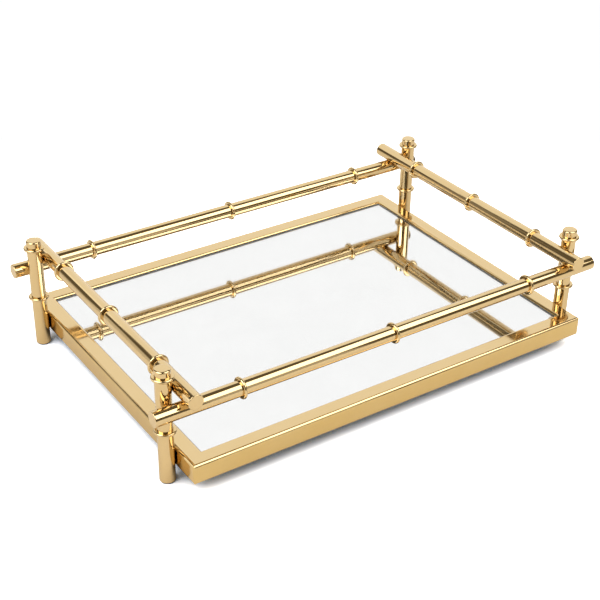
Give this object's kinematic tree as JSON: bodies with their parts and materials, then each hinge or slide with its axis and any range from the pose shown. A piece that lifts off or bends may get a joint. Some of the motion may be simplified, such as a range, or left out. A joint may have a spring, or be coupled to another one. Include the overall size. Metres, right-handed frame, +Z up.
{
  "type": "vanity tray",
  "caption": "Rectangular mirrored vanity tray in polished gold metal, with a mitred frame, corner posts and an open bamboo-style tube gallery around it.",
  "frame": {"origin": "on the table surface, under the middle of the tray", "axes": "+X along the tray's long side to the right, +Y to the rear long side, +Z up"},
  "size_m": [0.511, 0.343, 0.12],
  "materials": {
    "polished_gold": "mirror-polished gold plating on metal tube",
    "brushed_gold": "plated but unpolished strip",
    "mirror_glass": "silvered clear glass with ground edges",
    "backing_board": "bare hardboard",
    "black_felt": "short-pile black felt",
    "foot_rubber": "matt soft grey rubber"
  },
  "bodies": {
    "root": {"mirror_plate": "mirror_glass", "backing_board": "backing_board", "felt_liner": "black_felt", "front_bar": "polished_gold", "front_ledge": "brushed_gold", "front_rail": "polished_gold", "rear_bar": "polished_gold", "rear_ledge": "brushed_gold", "rear_rail": "polished_gold", "left_bar": "polished_gold", "left_ledge": "brushed_gold", "left_rail": "polished_gold", "right_bar": "polished_gold", "right_ledge": "brushed_gold", "right_rail": "polished_gold", "front_left_post": "polished_gold", "front_left_post_cap": "polished_gold", "front_left_foot_pad": "foot_rubber", "front_left_lower_ring": "polished_gold", "front_left_upper_ring": "polished_gold", "front_right_post": "polished_gold", "front_right_post_cap": "polished_gold", "front_right_foot_pad": "foot_rubber", "front_right_lower_ring": "polished_gold", "front_right_upper_ring": "polished_gold", "rear_left_post": "polished_gold", "rear_left_post_cap": "polished_gold", "rear_left_foot_pad": "foot_rubber", "rear_left_lower_ring": "polished_gold", "rear_left_upper_ring": "polished_gold", "rear_right_post": "polished_gold", "rear_right_post_cap": "polished_gold", "rear_right_foot_pad": "foot_rubber", "rear_right_lower_ring": "polished_gold", "rear_right_upper_ring": "polished_gold", "front_rail_left_ring": "polished_gold", "front_rail_middle_ring": "polished_gold", "front_rail_right_ring": "polished_gold", "rear_rail_left_ring": "polished_gold", "rear_rail_middle_ring": "polished_gold", "rear_rail_right_ring": "polished_gold", "left_rail_front_ring": "polished_gold", "left_rail_middle_ring": "polished_gold", "left_rail_rear_ring": "polished_gold", "right_rail_front_ring": "polished_gold", "right_rail_middle_ring": "polished_gold", "right_rail_rear_ring": "polished_gold", "front_rail_left_plug": "polished_gold", "front_rail_right_plug": "polished_gold", "rear_rail_left_plug": "polished_gold", "rear_rail_right_plug": "polished_gold", "left_rail_front_plug": "polished_gold", "left_rail_rear_plug": "polished_gold", "right_rail_front_plug": "polished_gold", "right_rail_rear_plug": "polished_gold"}
  },
  "joints": []
}
